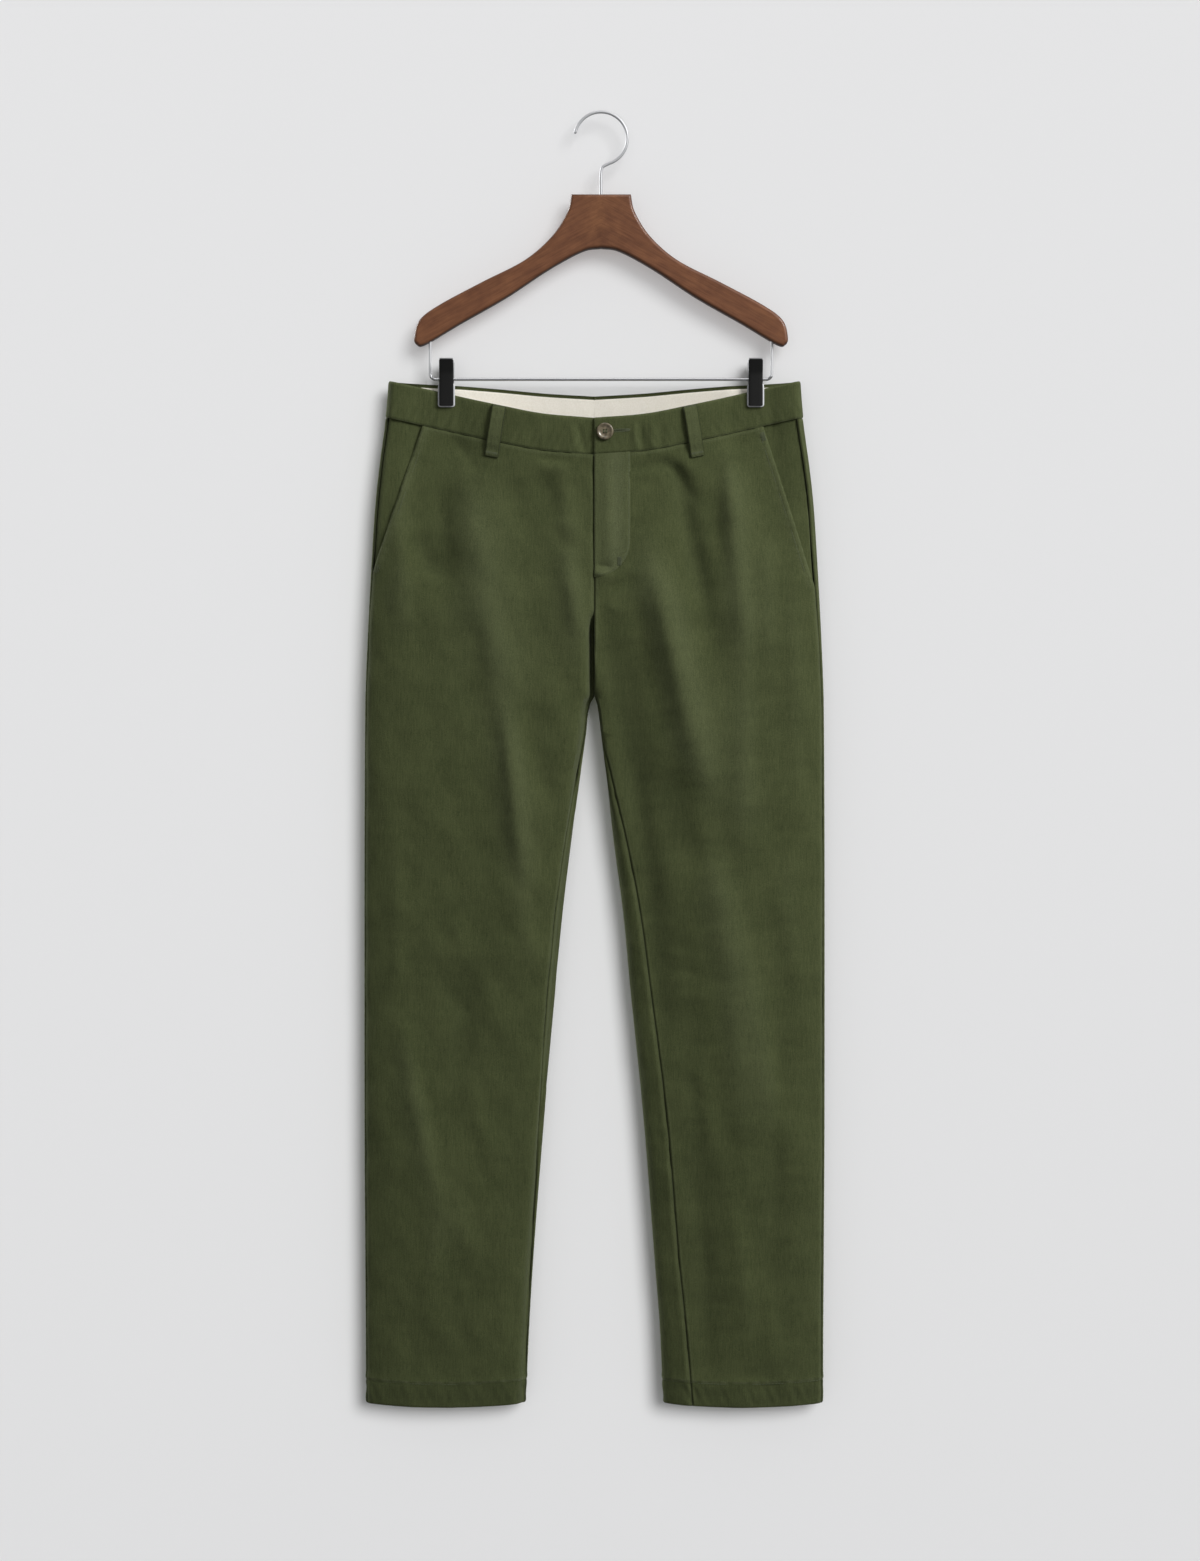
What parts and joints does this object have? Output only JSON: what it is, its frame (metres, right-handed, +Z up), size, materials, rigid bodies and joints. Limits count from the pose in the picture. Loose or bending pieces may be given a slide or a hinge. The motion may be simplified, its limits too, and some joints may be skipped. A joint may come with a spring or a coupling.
{
  "type": "chino trousers on a clip hanger",
  "caption": "Straight-leg chino trousers with slant pockets, belt loops and a buttoned fly, hanging by the waistband from a wooden clip hanger.",
  "frame": {"origin": "the inner top of the hanger's hook, where it bears on the rail or pin that holds it", "axes": "+Z up; the trousers' front faces -Y; +X to the wearer's left"},
  "size_m": [0.4735, 0.0417, 1.3342],
  "materials": {
    "twill": "washed cotton twill, dark olive green, matt with a faint nap",
    "lining": "plain woven cotton, cream",
    "horn": "mottled grey-brown, half gloss, horn look",
    "walnut": "brown stained hardwood, satin lacquer",
    "wire": "bright plated steel",
    "grip": "black, half matt"
  },
  "bodies": {
    "root": {"front_right": "twill", "front_left": "twill", "back_right": "twill", "back_left": "twill", "pocket_facing_right": "twill", "pocket_facing_left": "twill", "waistband_right": "twill", "waistband_left": "twill", "waistband_lining_right": "lining", "waistband_lining_left": "lining", "fly": "twill", "belt_loop_front_right": "twill", "belt_loop_front_left": "twill", "belt_loop_back_right": "twill", "belt_loop_back_left": "twill", "belt_loop_centre_back": "twill", "button": "horn", "hanger_hook": "wire", "hanger_body": "walnut", "hanger_bar": "wire", "clip_hub_right": "wire", "clip_hub_left": "wire", "clip_jaw_front_right": "wire", "clip_jaw_back_right": "wire", "clip_jaw_front_left": "wire", "clip_jaw_back_left": "wire", "clip_grip_front_right": "grip", "clip_grip_back_right": "grip", "clip_grip_front_left": "grip", "clip_grip_back_left": "grip"}
  },
  "joints": []
}
